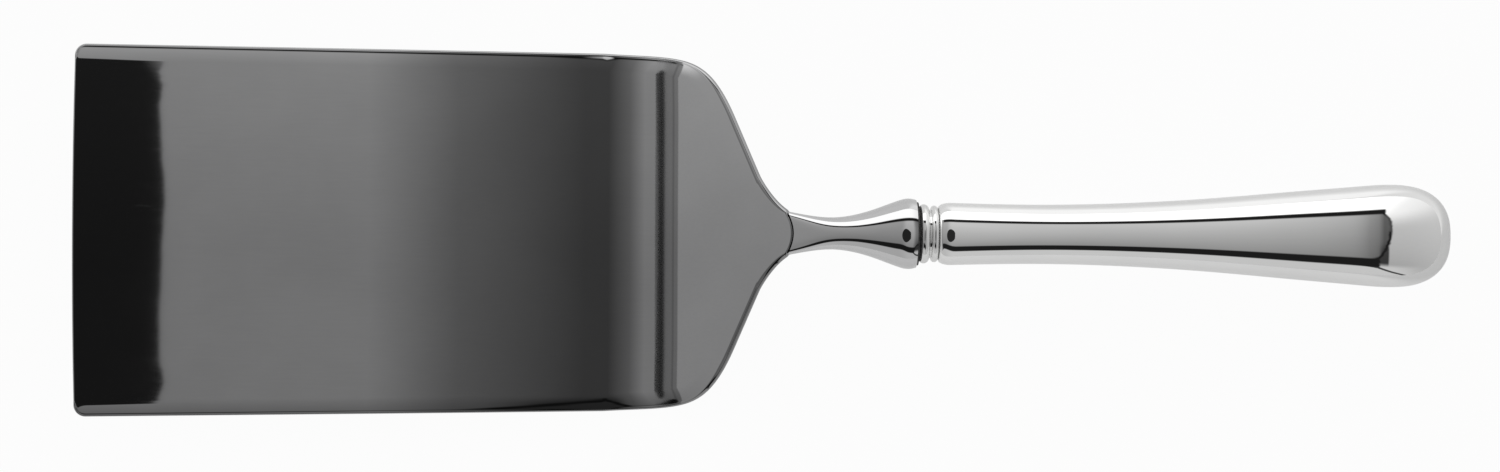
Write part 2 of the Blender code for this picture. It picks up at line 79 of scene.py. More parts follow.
ramp_length = (TONGUE_TIP[0] - RAMP_START_X) / cos(radians(RAMP_SLOPE))
heel_bend_length = HEEL_BEND_RADIUS * radians(RAMP_SLOPE - HEEL_SLOPE)
stretches = (
    (ramp_length, RAMP_SLOPE, RAMP_SLOPE),
    (heel_bend_length, RAMP_SLOPE, HEEL_SLOPE),
    (HEEL_EASE_LENGTH, HEEL_SLOPE, CROWN_SLOPE),
    (CROWN_LENGTH, CROWN_SLOPE, FRONT_SLOPE),
    (2 * HALF_LENGTH, FRONT_SLOPE, FRONT_SLOPE),
)


def node_middle(name):
    """Middle of a node of the frame."""
    low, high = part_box(name)
    return (Vector(low) + Vector(high)) / 2


def axis_to_table():
    """The handle's axis as the frame holds it: from shapes along X to their place on the table."""
    ring = node_middle("front_bead_ring")
    along = (node_middle("rear_bead_ring") - ring).normalized()
    turn = Vector((1, 0, 0)).rotation_difference(along).to_matrix().to_4x4()
    return Matrix.Translation(ring - along * FRONT_RING_MIDDLE_X) @ turn


on_table = axis_to_table()


def spread(start, end, count):
    """Evenly spaced values from start to end, both included."""
    return [start + (end - start) * i / (count - 1) for i in range(count)]


def bezier(points, steps):
    """Points along a cubic Bezier curve in the plane, without the last one."""
    curve = []
    for i in range(steps):
        t = i / steps
        weights = ((1 - t) ** 3, 3 * t * (1 - t) ** 2, 3 * t * t * (1 - t), t**3)
        curve.append(tuple(sum(w * p[k] for w, p in zip(weights, points)) for k in range(2)))
    return curve


def sheet_place(distance):
    """Place and slope of the sheet's middle at a distance from the tongue's tip."""
    x, z = TONGUE_TIP
    for length, first, last in stretches:
        a, b = radians(first), radians(last)
        run = min(distance, length)
        angle = a + (b - a) * run / length
        if first == last:
            x -= run * cos(a)
            z -= run * sin(a)
        else:
            radius = length / (b - a)
            x -= radius * (sin(angle) - sin(a))
            z += radius * (cos(angle) - cos(a))
        distance -= run
        if distance <= 0:
            break
    return x, z, angle


bent_length = sum(length for length, _, _ in stretches[:-1])
sheet_length = bent_length + (sheet_place(bent_length)[0] + HALF_LENGTH) / cos(radians(FRONT_SLOPE))
outline = [
    (-HALF_LENGTH, FRONT_HALF_WIDTH),
    *bezier(SHOULDER, SHOULDER_STEPS),
    SHOULDER[-1],
    *bezier(HOLLOW, HOLLOW_STEPS),
    HOLLOW[-1],
    (TONGUE_TIP[0], TONGUE_HALF_WIDTH),
]
outline_x = [point[0] for point in outline]


def square_half_width(x):
    """Half the blade's width in plan, before its front corners are rounded."""
    x = min(max(x, outline_x[0]), outline_x[-1])
    i = min(bisect_right(outline_x, x) - 1, len(outline) - 2)
    (x0, y0), (x1, y1) = outline[i], outline[i + 1]
    return y0 + (y1 - y0) * (x - x0) / (x1 - x0)


def half_width(x):
    """Half the blade's width in plan."""
    corner = FRONT_CORNER_RADIUS - max(x + HALF_LENGTH - FRONT_EDGE_BOW, 0.0)
    if corner <= 0:
        return square_half_width(x)
    return square_half_width(x) - FRONT_CORNER_RADIUS + sqrt(FRONT_CORNER_RADIUS**2 - corner**2)


LEAN_PROBE = 0.0001
MOST_LEAN = 2.5


def edge_stretch(half_at, x):
    """How much wider the edge is across the blade than square to its outline."""
    lean = abs(half_at(x + LEAN_PROBE) - half_at(x - LEAN_PROBE)) / (2 * LEAN_PROBE)
    return sqrt(1 + min(lean, MOST_LEAN) ** 2)


def sheet_thickness(distance):
    """The sheet thins evenly from the heel to the front edge."""
    heel = ramp_length + heel_bend_length
    share = max(0.0, (distance - heel) / (sheet_length - heel))
    return HEEL_THICKNESS + (FRONT_THICKNESS - HEEL_THICKNESS) * share


TIP_ROWS = ((0.0, 0.0), (0.0, 0.8), (0.00012, 0.95))
TIP_LENGTH = 0.00030
RAMP_ROWS = 100
BEND_ROWS = (48, 24, 40)
FRONT_ROWS = 12
CORNER_ROWS = 14
CORNER_REACH = 1.4
NOSE_ROWS = 7


def blade_rows():
    """Distance of each cross row from the tongue's tip, with its share of the thickness."""
    stops = spread(TIP_LENGTH, ramp_length, RAMP_ROWS)
    for (length, _, _), count in zip(stretches[1:-1], BEND_ROWS):
        stops += spread(stops[-1], stops[-1] + length, count + 1)[1:]
    corner_start = sheet_length - CORNER_REACH * FRONT_CORNER_RADIUS
    stops += spread(stops[-1], corner_start, FRONT_ROWS)[1:]
    stops += spread(corner_start, sheet_length - FRONT_EDGE_ROUND, CORNER_ROWS)[1:]
    rows = [*TIP_ROWS, *((stop, 1.0) for stop in stops)]
    for turn in spread(0.0, pi / 2, NOSE_ROWS)[1:]:
        rows.append((sheet_length - FRONT_EDGE_ROUND * (1 - sin(turn)), cos(turn)))
    return rows


DRESSED_POINTS = 16
DRESSED_CROWDING = 0.8
FLAT_POINTS = 9
EDGE_POINTS = 13
UNDERSIDE_POINTS = 21


def blade_section():
    """Points round a cross row: place across, reach over the edge, level, and rise over the edge.

    The place runs from -1 to 1 over the flat, and on to 2 on each side where the edge is dressed.
    """
    dressed = [1 + step**DRESSED_CROWDING for step in spread(1.0, 0.0, DRESSED_POINTS)]
    flat = spread(1.0, -1.0, FLAT_POINTS)[1:-1]
    places = dressed + flat + [-place for place in reversed(dressed)]
    turns = spread(pi / 2, -pi / 2, EDGE_POINTS)[1:-1]
    top = [(place, 0.0, 1.0, 1 - max(abs(place) - 1, 0.0) ** 2) for place in places]
    left = [(-2.0, -cos(turn), sin(turn), 0.0) for turn in turns]
    under = [(place, 0.0, -1.0, 0.0) for place in spread(-2.0, 2.0, UNDERSIDE_POINTS)]
    right = [(2.0, cos(turn), -sin(turn), 0.0) for turn in turns]
    return top + left + under + right


def dressing(row, x):
    """Width and depth of the dressed edge at a cross row. It fades out up the ramp."""
    fade = min(max((row - ramp_length) / DRESSED_FADE + 1, 0.0), 1.0)
    full_width = DRESSED_WIDTH * edge_stretch(square_half_width, x)
    width = min(full_width, DRESSED_SHARE * square_half_width(x))
    return width, DRESSED_DROP * width / full_width * fade * fade * (3 - 2 * fade)


def edge_at(row, x, thick):
    """Half widths of the flat and of the whole row, half the edge's thickness, and its stretch.

    The front corners are rounded after the edges are dressed, so they take some of the dressed edge away.
    """
    width, drop = dressing(row, x)
    half, stretch = half_width(x), edge_stretch(half_width, x)
    edge = (thick - drop) / 2
    flat = square_half_width(x) - edge * edge_stretch(square_half_width, x) - width
    left = max(half - edge * stretch - flat, 0.0)
    edge = (thick - drop * (left / width) ** 2) / 2
    return min(flat, half - edge * stretch), half, edge, stretch


def end_bow(row, side):
    """How far a cross row is set back at its sides: round at the tongue's tip, bowed at the front."""
    share = row / sheet_length
    tip = TONGUE_END_RADIUS - sqrt(TONGUE_END_RADIUS**2 - (side * TONGUE_HALF_WIDTH) ** 2)
    return tip * (1 - share) - FRONT_EDGE_BOW * side**2 * share


def blade_point(row, fullness, place, reach, level, rise):
    """One point of the blade, before it is set on the table."""
    across = min(max(place, -1.0), 1.0)
    bow = 0.0
    for _ in range(2):
        x, z, angle = sheet_place(row + bow)
        thick = sheet_thickness(row + bow)
        flat, half, edge, stretch = edge_at(row, x, thick)
        y = across * flat + (place - across) * (half - edge * stretch - flat) + reach * edge * stretch
        bow = end_bow(row, y / half)
    lift = edge - thick / 2 + fullness * (level * edge + rise * (thick - 2 * edge))
    return Vector((x - lift * sin(angle), y, z + lift * cos(angle)))


MERGE_DISTANCE = 1e-7
SLIVER_LENGTH = 1e-8
SMOOTH_ANGLE = radians(40)


def rolled(name, around, rows, place):
    """Roll a flat grid round a section, merge its seam and its closed ends, and smooth it."""
    bpy.ops.object.select_all(action="DESELECT")
    bpy.ops.mesh.primitive_grid_add(x_subdivisions=around, y_subdivisions=rows - 1, size=1.0)
    piece = bpy.context.object
    piece.name = name
    piece.data.name = name
    for vertex in piece.data.vertices:
        i = round((vertex.co.x + 0.5) * around) % around
        j = round((vertex.co.y + 0.5) * (rows - 1))
        vertex.co = on_table @ place(i, j)
    bpy.ops.object.mode_set(mode="EDIT")
    bpy.ops.mesh.select_all(action="SELECT")
    bpy.ops.mesh.remove_doubles(threshold=MERGE_DISTANCE)
    bpy.ops.mesh.dissolve_degenerate(threshold=SLIVER_LENGTH)
    bpy.ops.mesh.select_all(action="SELECT")
    bpy.ops.mesh.normals_make_consistent(inside=False)
    bpy.ops.object.mode_set(mode="OBJECT")
    bpy.ops.object.shade_smooth_by_angle(angle=SMOOTH_ANGLE)
    return piece


class Flow:
    """A value in a shader graph, which can stand in sums and products."""

    def __init__(self, tree, socket=None):
        self.tree = tree
        self.socket = socket

    def add(self, kind, settings=None, sockets=None, output=0):
        """Add a node of a kind, set it up, feed its sockets, and return one of its outputs."""
        node = self.tree.nodes.new(kind)
        for key, value in (settings or {}).items():
            setattr(node, key, value)
        for key, value in (sockets or {}).items():
            if isinstance(value, Flow):
                self.tree.links.new(value.socket, node.inputs[key])
            else:
                node.inputs[key].default_value = value
        return Flow(self.tree, node.outputs[output]) if node.outputs else None

    def math(self, operation, *values):
        """A Math node on this graph's values."""
        return self.add("ShaderNodeMath", {"operation": operation}, dict(enumerate(values)))

    def __add__(self, other):
        return self.math("ADD", self, other)

    def __sub__(self, other):
        return self.math("SUBTRACT", self, other)

    def __rsub__(self, other):
        return self.math("SUBTRACT", other, self)

    def __mul__(self, other):
        return self.math("MULTIPLY", self, other)

    __radd__ = __add__
    __rmul__ = __mul__

    def step(self, start, end, curve="SMOOTHSTEP"):
        """0 below start, 1 above end, and smooth between them."""
        sockets = {"Value": self, "From Min": start, "From Max": end}
        return self.add("ShaderNodeMapRange", {"interpolation_type": curve}, sockets)

    def ramp(self, start, end):
        """0 below start, 1 above end, and even between them."""
        return self.step(start, end, "LINEAR")

    def between(self, first, second):
        """A number from first to second, by this value."""
        return first + self * (second - first)

    def mix(self, first, second):
        """A colour from first to second, by this value. The node's colours are sockets 6 and 7."""
        settings = {"data_type": "RGBA"}
        return self.add("ShaderNodeMix", settings, {0: self, 6: first, 7: second}, output=2)

    def part(self, axis):
        """One of a vector's three parts."""
        return self.add("ShaderNodeSeparateXYZ", None, {0: self}, output=axis)

    def stretched(self, scale, turn=0.0):
        """A place scaled along its axes, after a turn about Z."""
        sockets = {"Vector": self, "Rotation": (0.0, 0.0, turn), "Scale": scale}
        return self.add("ShaderNodeMapping", None, sockets)

    def noise(self, scale, detail):
        """Soft noise at a place."""
        return self.add("ShaderNodeTexNoise", None, {"Vector": self, "Scale": scale, "Detail": detail})

    def relief(self, distance, strength=1.0):
        """The normal of a surface with this height."""
        sockets = {"Strength": strength, "Distance": distance, "Height": self}
        return self.add("ShaderNodeBump", None, sockets)

    def feed(self, shader, socket):
        """Link this value to a socket of a shader."""
        self.tree.links.new(self.socket, shader.inputs[socket])


def new_material(name):
    """A material with its Principled shader, and the place on the piece that its graph starts from."""
    material = bpy.data.materials.new(name)
    material.use_nodes = True
    tree = material.node_tree
    place = Flow(tree).add("ShaderNodeTexCoord", output="Object")
    return material, tree.nodes["Principled BSDF"], place


CLOUD_SCALE = 55.0
CLOUD_TONE = (0.30, 0.75)
CLOUD_TONE_PART = 0.7
CLOUD_HAZE = (0.45, 0.85)
CLOUD_HAZE_PART = 0.5
LINE_TONE = (0.2, 0.9)
LINE_TONE_PART = 0.3
LINE_HAZE = (0.45, 0.8)
LINE_HAZE_PART = 0.35
LINE_HEIGHT = 0.03
HAIR_SCRATCHES = ((0.35, 900.0), (-0.6, 1300.0))
HAIR_LENGTHENING = 0.035
HAIR_EDGE = (0.70, 0.78)
HAIR_ROUGHNESS = 0.012
HAIR_DEPTH = 0.04
SWELL_SCALE = 70.0
SWELL_HEIGHT = 6e-7


def polished_metal(name, bright, dull, gloss, grain, wear_and_sheen=None):
    """Buffed metal: faint cloudy tone, fine lines from the buffing wheel, hair scratches, low swell."""
    material, shader, place = new_material(name)
    shader.inputs["Metallic"].default_value = 1.0
    cloud = place.noise(CLOUD_SCALE, 4.0)
    lines = place.stretched(grain).noise(1.0, 3.0)
    hair = 0.0
    for turn, scale in HAIR_SCRATCHES:
        strands = place.stretched((HAIR_LENGTHENING * scale, scale, scale), turn).noise(1.0, 2.0)
        hair = strands.step(*HAIR_EDGE) + hair
    tone = cloud.step(*CLOUD_TONE) * CLOUD_TONE_PART + lines.step(*LINE_TONE) * LINE_TONE_PART
    haze = cloud.step(*CLOUD_HAZE) * CLOUD_HAZE_PART + lines.step(*LINE_HAZE) * LINE_HAZE_PART
    rough = gloss + haze * gloss
    # The blade's hook adds a painted sheen to the tone, and wear to the roughness.
    if wear_and_sheen:
        tone, rough = wear_and_sheen(place, tone, rough)
    tone.mix((*dull, 1.0), (*bright, 1.0)).feed(shader, "Base Color")
    (rough + hair * HAIR_ROUGHNESS).feed(shader, "Roughness")
    height = place.noise(SWELL_SCALE, 1.0) + lines * LINE_HEIGHT - hair * HAIR_DEPTH
    height.relief(SWELL_HEIGHT).feed(shader, "Normal")
    return material


def dress(piece, material, slot, *nodes):
    """Give a piece its material and its place in the frame."""
    piece.data.materials.clear()
    piece.data.materials.append(material)
    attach(piece, "root")
    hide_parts(*nodes)


BRIGHT_STEEL = (0.46, 0.46, 0.463)
GREY_STEEL = (0.32, 0.32, 0.323)
STEEL_GLOSS = 0.014
STEEL_GRAIN = (60.0, 2500.0, 2500.0)
PAINTED_SHEEN_FROM_Y = (-0.012, 0.042)
PAINTED_SHEEN_PART = 0.75
BEND_STARTS_X = (-0.0204, -0.0190)
BEND_ENDS_X = (-0.0176, -0.0164)
BEND_ROUGHNESS = 0.17
FOOT_ENDS_X = (-0.0135, -0.0120)
FOOT_ROUGHNESS = 0.07


def blade_wear_and_painted_sheen(place, tone, rough):
    """The blade's base colour is painted lighter towards its far side, as painted light, and the heel bend
    has lost some of its gloss.
    """
    # Painted light: the base colour turns lighter towards the far side.
    far = place.part("Y").step(*PAINTED_SHEEN_FROM_Y)
    along = place.part("X")
    bend = along.step(*BEND_STARTS_X) * (1 - along.step(*BEND_ENDS_X))
    foot = along.step(*BEND_ENDS_X) * (1 - along.step(*FOOT_ENDS_X))
    tone = tone * (1 - PAINTED_SHEEN_PART) + far * PAINTED_SHEEN_PART
    return tone, rough + bend * BEND_ROUGHNESS + foot * FOOT_ROUGHNESS


rows = blade_rows()
section = blade_section()
blade = rolled("serving_blade", len(section), len(rows), lambda i, j: blade_point(*rows[j], *section[i]))
steel = polished_metal("blade_mirror_steel", BRIGHT_STEEL, GREY_STEEL, STEEL_GLOSS, STEEL_GRAIN, blade_wear_and_painted_sheen)
dress(blade, steel, "blade_steel", "blade")

# Bolster
# Forged steel: a palm under the blade's tongue, a waisted neck, a bell, and the tang that runs back
# into the handle. The tongue lies in a round-ended seat cut into the neck and is brazed there.
# The seat's floor and round wall are painted near-black, as painted shade in the gap round the tongue. The
# tang keeps a rough forge scale.
NECK_OUTLINE = (
    (0.0038, 0.00419),
    (0.0046, 0.00400),
    (0.0062, 0.00368),
    (0.0091, 0.00320),
    (0.0121, 0.00295),
    (0.0150, 0.00315),
    (0.0209, 0.00470),
    (0.0250, 0.00618),
    (0.0258, 0.00640),
    (0.0266, 0.00648),
    (0.0274, 0.00640),
    (0.0280, 0.00622),
)
NECK_TOP = (
    (0.0038, 0.00116),
    (0.0091, 0.00246),
    (0.0150, 0.00392),
    (0.0209, 0.00537),
    (0.0240, 0.00613),
    (0.02455, 0.006266),
    (0.02555, 0.006451),
    (0.02656, 0.006534),
    (0.0275, 0.006554),
    (0.0280, 0.00654),
)
NECK_UNDERSIDE = (
    (0.0038, -0.00360),
    (0.0046, -0.00350),
    (0.0091, -0.00300),
    (0.0121, -0.00290),
    (0.0150, -0.00310),
    (0.0209, -0.00455),
    (0.0250, -0.00600),
    (0.0258, -0.00632),
    (0.0266, -0.00645),
    (0.0274, -0.00640),
    (0.0280, -0.00622),
)
NECK_SQUARENESS = ((0.0038, 5.0), (0.0060, 4.0), (0.0090, 2.8), (0.0130, 2.15), (0.0170, 2.0))
NECK_ROWS = 140
PALM_OUTLINE = ((-0.0072, 0.0022), (-0.0066, 0.0036), (-0.0045, 0.0046), (0.0, 0.0043), (0.0040, 0.0040))
PALM_DEPTH = ((-0.0072, 0.0006), (-0.0045, 0.0011), (0.0, 0.0016), (0.0040, 0.0017))
PALM_SQUARENESS = 2.6
PALM_END_X = 0.0030
PALM_ROWS = 24
TANG_HALF_SIZE = (0.0022, 0.0016)
TANG_END_X = 0.082
TANG_TIP_SHARE = 0.7
TANG_SQUARENESS = 5.0
ROUND = 2.0
AROUND = 96


def spline(points, end_slope=None):
    """A smooth function of x through the points: a cubic spline, with a free or a given last slope."""
    xs, ys = np.array(points).T
    n = len(xs)
    steps = np.diff(xs)
    chords = np.diff(ys) / steps
    left, right = np.zeros((n, n)), np.zeros(n)
    for i in range(1, n - 1):
        left[i, i - 1:i + 2] = steps[i], 2 * (steps[i - 1] + steps[i]), steps[i - 1]
        right[i] = 3 * (steps[i] * chords[i - 1] + steps[i - 1] * chords[i])
    left[0, :2], right[0] = (2, 1), 3 * chords[0]
    left[-1, -2:], right[-1] = (1, 2), 3 * chords[-1]
    if end_slope is not None:
        left[-1, -2:], right[-1] = (0, 1), end_slope
    slopes = np.linalg.solve(left, right)

    def value(x):
        x = min(max(x, xs[0]), xs[-1])
        i = min(int(np.searchsorted(xs, x, side="right")) - 1, n - 2)
        t = (x - xs[i]) / steps[i]
        ease = t * t * (3 - 2 * t)
        rise = t * (1 - t) ** 2 * slopes[i] - t * t * (1 - t) * slopes[i + 1]
        return float(ys[i] + (ys[i + 1] - ys[i]) * ease + steps[i] * rise)

    return value


def oval(x, half, high, centre_z, squareness, turn):
    """A point on a superellipse across the axis."""
    power = 2 / squareness
    y = half * abs(cos(turn)) ** power * (1 if cos(turn) > 0 else -1)
    z = high * abs(sin(turn)) ** power * (1 if sin(turn) > 0 else -1)
    return Vector((x, y, centre_z + z))


SEAT_GAP = 0.0002
slope = radians(RAMP_SLOPE)
seat_depth = HEEL_THICKNESS / 2 + SEAT_GAP


def palm_sections():
    """Sections of the palm under the blade's tongue, from its closed tip."""
    half, depth = spline(PALM_OUTLINE), spline(PALM_DEPTH)
    sections = []
    for x in spread(PALM_OUTLINE[0][0], PALM_END_X, PALM_ROWS):
        top = TONGUE_TIP[1] + (x - TONGUE_TIP[0]) * tan(slope)
        bottom = top - seat_depth / cos(slope) - depth(x)
        sections.append((x, half(x), (top - bottom) / 2, (top + bottom) / 2, PALM_SQUARENESS))
    tip_x, _, _, tip_z, _ = sections[0]
    return [(tip_x, 0.0, 0.0, tip_z, ROUND), *sections]


def neck_sections():
    """Sections of the neck and the bell."""
    half, high, low = spline(NECK_OUTLINE), spline(NECK_TOP), spline(NECK_UNDERSIDE)
    squareness = spline(NECK_SQUARENESS)
    sections = []
    for x in spread(NECK_OUTLINE[0][0], NECK_OUTLINE[-1][0], NECK_ROWS):
        top, bottom = high(x), low(x)
        sections.append((x, half(x), (top - bottom) / 2, (top + bottom) / 2, squareness(x)))
    return sections


def tang_sections():
    """Sections of the tang, to its closed end."""
    half, high = TANG_HALF_SIZE
    tip = TANG_TIP_SHARE
    return [
        (NECK_OUTLINE[-1][0], half, high, 0.0, TANG_SQUARENESS),
        (TANG_END_X, half * tip, high * tip, 0.0, TANG_SQUARENESS),
        (TANG_END_X, 0.0, 0.0, 0.0, ROUND),
    ]


BRAZE_GAP = 0.0004
SEAT_CUT_HEIGHT = 0.012
SEAT_CUT_LENGTH = 0.020
SEAT_CUT_STEPS = 192
along = Vector((cos(slope), 0.0, sin(slope)))
up = Vector((-sin(slope), 0.0, cos(slope)))
seat = Vector((TONGUE_TIP[0], 0.0, TONGUE_TIP[1])) - along * TONGUE_END_RADIUS - up * seat_depth


def cut_seat(piece):
    """Cut the round-ended seat for the blade's tongue, square to the ramp."""
    height, length = SEAT_CUT_HEIGHT, SEAT_CUT_LENGTH
    radius = TONGUE_END_RADIUS + BRAZE_GAP
    turn = on_table.to_3x3().to_4x4() @ Matrix.Rotation(-slope, 4, "Y")
    for shape, middle in (("cylinder", seat), ("cube", seat - along * length / 2)):
        bpy.ops.object.select_all(action="DESELECT")
        place = {"location": on_table @ (middle + up * height / 2), "rotation": turn.to_euler()}
        if shape == "cylinder":
            sizes = {"vertices": SEAT_CUT_STEPS, "radius": radius, "depth": height}
            bpy.ops.mesh.primitive_cylinder_add(**sizes, **place)
        else:
            bpy.ops.mesh.primitive_cube_add(size=1.0, scale=(length, 2 * radius, height), **place)
        cutter = bpy.context.object
        cut = piece.modifiers.new("tongue_seat", "BOOLEAN")
        cut.operation = "DIFFERENCE"
        cut.object = cutter
        bpy.context.view_layer.objects.active = piece
        bpy.ops.object.modifier_apply(modifier=cut.name)
        bpy.data.objects.remove(cutter, do_unlink=True)
    bpy.ops.object.select_all(action="DESELECT")
    piece.select_set(True)
    bpy.ops.object.shade_smooth_by_angle(angle=SMOOTH_ANGLE)


off_table = on_table.inverted()


def give_faces_second_material(piece, finish, is_left):
    """Give some faces a second, rough material, by their middle and the way they face."""
    piece.data.materials.append(finish)
    for face in piece.data.polygons:
        if is_left(off_table @ face.center, off_table.to_3x3() @ face.normal):
            face.material_index = 1


SEAT_FLOOR_DEPTH = 0.00005
SAME_WAY = 0.98
TANG_START_X = NECK_OUTLINE[-1][0] + 0.0001


def in_seat_or_on_tang(point, facing):
    """Whether a face is on the floor or the round wall of the tongue's seat, or on the tang."""
    above = (point - seat).dot(up)
    inward = (seat + up * above - point).normalized()
    on_floor = abs(above) < SEAT_FLOOR_DEPTH and facing.dot(up) > SAME_WAY
    on_wall = above > 0 and facing.dot(inward) > SAME_WAY
    return on_floor or on_wall or point.x > TANG_START_X


SCALE_AND_SHADE_DARK = (0.030, 0.030, 0.030, 1.0)
SCALE_AND_SHADE_PALE = (0.085, 0.082, 0.080, 1.0)
CRUST_GRAIN = 1500.0
SCALE_AND_SHADE_TONE = (0.3, 0.7)
CRUST_ROUGHNESS = (0.5, 0.8)
BELL_BRIGHT = (0.74, 0.74, 0.743)
BELL_GREY = (0.68, 0.68, 0.683)
BELL_GLOSS = 0.02
BELL_GRAIN = (90.0, 1800.0, 1800.0)

# Near-black and rough: forge scale on the tang, and painted shade on the tongue's seat and on the collar's
# front flange.
tang_scale_and_painted_shade, shader, place = new_material("tang_scale_and_painted_shade")
scale_and_shade_grain = place.noise(CRUST_GRAIN, 5.0)
scale_and_shade_grain.step(*SCALE_AND_SHADE_TONE).mix(SCALE_AND_SHADE_DARK, SCALE_AND_SHADE_PALE).feed(shader, "Base Color")
scale_and_shade_grain.between(*CRUST_ROUGHNESS).feed(shader, "Roughness")
rows = palm_sections() + neck_sections() + tang_sections()
turns = [2 * pi * (i + 0.5) / AROUND for i in range(AROUND)]
bolster = rolled("forged_bolster", AROUND, len(rows), lambda i, j: oval(*rows[j], turns[i]))
cut_seat(bolster)
steel = polished_metal("bolster_mirror_steel", BELL_BRIGHT, BELL_GREY, BELL_GLOSS, BELL_GRAIN)
dress(bolster, steel, "bolster_steel", "bolster")
give_faces_second_material(bolster, tang_scale_and_painted_shade, in_seat_or_on_tang)

# Collar
# Turned silver sleeve between the bell and the handle. Its front flange against the bell's rim is painted
# near-black, as painted shade in the gap between them. The bead rings sit on its front. The handle's mouth
# is turned in round the groove before its spigot.
COLLAR_STEPS = (
    (0.02803, 0.0058),
    (0.02840, 0.0058),
    (0.02840, 0.0044),
    (0.0320, 0.0044),
    (0.0320, 0.0037),
    (0.0350, 0.0037),
    (0.0350, 0.0044),
    (0.0410, 0.0044),
)
COLLAR_BORE_RADIUS = 0.0030
PAINTED_GAP_SHADE_END_X = COLLAR_STEPS[1][0] + 0.00001
COLLAR_BRIGHT = (0.88, 0.88, 0.875)
COLLAR_TARNISH = (0.70, 0.70, 0.69)
COLLAR_GLOSS = 0.05
COLLAR_GRAIN = (1500.0, 200.0, 200.0)
TURNED_STEPS = 128
TURNED_MERGE_DISTANCE = 1e-6


def turned(name, steps, bore):
    """Turn the steps of (x, radius) round the handle's axis, with a straight bore."""
    profile = [(steps[0][0], bore), *steps, (steps[-1][0], bore)]
    bpy.ops.object.select_all(action="DESELECT")
    bpy.ops.mesh.primitive_circle_add(vertices=len(profile), radius=1.0)
    piece = bpy.context.object
    piece.name = name
    piece.data.name = name
    for vertex, (x, radius) in zip(piece.data.vertices, profile):
        vertex.co = on_table @ Vector((x, 0.0, radius))
    bpy.ops.object.mode_set(mode="EDIT")
    bpy.ops.mesh.select_all(action="SELECT")
    axis = on_table.to_3x3() @ Vector((1, 0, 0))
    bpy.ops.mesh.spin(steps=TURNED_STEPS, angle=2 * pi, center=on_table.translation, axis=axis)
    bpy.ops.mesh.select_all(action="SELECT")
    bpy.ops.mesh.remove_doubles(threshold=TURNED_MERGE_DISTANCE)
    bpy.ops.mesh.normals_make_consistent(inside=False)
    bpy.ops.object.mode_set(mode="OBJECT")
    bpy.ops.object.shade_smooth_by_angle(angle=SMOOTH_ANGLE)
    return piece


collar = turned("silver_collar", COLLAR_STEPS, COLLAR_BORE_RADIUS)
silver = polished_metal("collar_silver", COLLAR_BRIGHT, COLLAR_TARNISH, COLLAR_GLOSS, COLLAR_GRAIN)
dress(collar, silver, "collar_silver", "collar")
# Painted shade: the front flange against the bell's rim is near-black.
give_faces_second_material(collar, tang_scale_and_painted_shade, lambda point, facing: point.x < PAINTED_GAP_SHADE_END_X)

# Bead rings
# Two half-round silver rings soldered round the collar, the wider one next to the bell. The solder in
# the groove between the rear ring and the handle is left dull, because no wheel reaches it.
RINGS = {"front_bead_ring": (0.02842, 0.0304, 0.00543), "rear_bead_ring": (0.0307, 0.0320, 0.00520)}
RING_BORE_RADIUS = 0.00442
RING_CURVE_STEPS = 24
RING_BRIGHT = (0.92, 0.92, 0.915)
RING_TARNISH = (0.84, 0.84, 0.83)
RING_GLOSS = 0.03
RING_GRAIN = (1500.0, 150.0, 150.0)
GROOVE_RADIUS = 0.0050
GROOVE_START_X = 0.0315
SOLDER_GREY = (0.78, 0.78, 0.77, 1.0)
SOLDER_PALE = (0.90, 0.90, 0.89, 1.0)
SOLDER_GRAIN = 2500.0
SOLDER_TONE = (0.3, 0.7)
SOLDER_ROUGHNESS = (0.4, 0.6)


def bead(start, end, crest):
    """Half-round profile of a ring between two places along the axis."""
    half = (end - start) / 2
    turns = spread(pi, 0.0, RING_CURVE_STEPS + 1)
    return [(start + half + half * cos(turn), crest - half + half * sin(turn)) for turn in turns]


def in_groove(point, facing):
    """Whether a face is down in the groove behind the rear ring."""
    return point.x > GROOVE_START_X and point.yz.length < GROOVE_RADIUS


solder, shader, place = new_material("groove_solder")
shader.inputs["Metallic"].default_value = 1.0
grains = place.noise(SOLDER_GRAIN, 3.0)
grains.step(*SOLDER_TONE).mix(SOLDER_GREY, SOLDER_PALE).feed(shader, "Base Color")
grains.between(*SOLDER_ROUGHNESS).feed(shader, "Roughness")
silver = polished_metal("ring_silver", RING_BRIGHT, RING_TARNISH, RING_GLOSS, RING_GRAIN)
for node, sizes in RINGS.items():
    ring = turned("silver_" + node, bead(*sizes), RING_BORE_RADIUS)
    dress(ring, silver, "collar_silver", node)
    give_faces_second_material(ring, solder, in_groove)

# Handle
# Two stamped silver halves, soldered along the sides and polished until the seam hardly shows. The
# mouth is turned in round the collar, and the end is a full round.
HANDLE_OUTLINE = (
    (0.0345, 0.00571),
    (0.0493, 0.00545),
    (0.0658, 0.00580),
    (0.0824, 0.00678),
    (0.0990, 0.00820),
    (0.1100, 0.00912),
    (0.1155, 0.00945),
)
HANDLE_HEIGHT = (
    (0.0351, 0.00549),
    (0.0493, 0.00583),
    (0.0658, 0.00624),
    (0.0824, 0.00678),
    (0.0990, 0.00741),
    (0.1070, 0.00771),
    (0.1125, 0.00783),
)
HANDLE_START_X = 0.03203
HANDLE_LIP_HALF = 0.0047
LIP_PROBE = 0.00001
PLAN_END_SQUARENESS = 2.5
SIDE_END_SQUARENESS = 2.0
WALL = 0.0006
SEAM_GAP = 0.00003
SEAM_TURNS = (0.0, 0.006)
HALF_TURN_START = 0.02
HALF_TURN_STEPS = 48
LIP_ROWS = 7
MOUTH_ROWS = 24
BODY_ROWS = 110
DOME_ROWS = 80
HANDLE_BRIGHT = (0.96, 0.96, 0.955)
HANDLE_TARNISH = (0.91, 0.91, 0.905)
HANDLE_GLOSS = 0.02
HANDLE_GRAIN = (70.0, 2200.0, 2200.0)


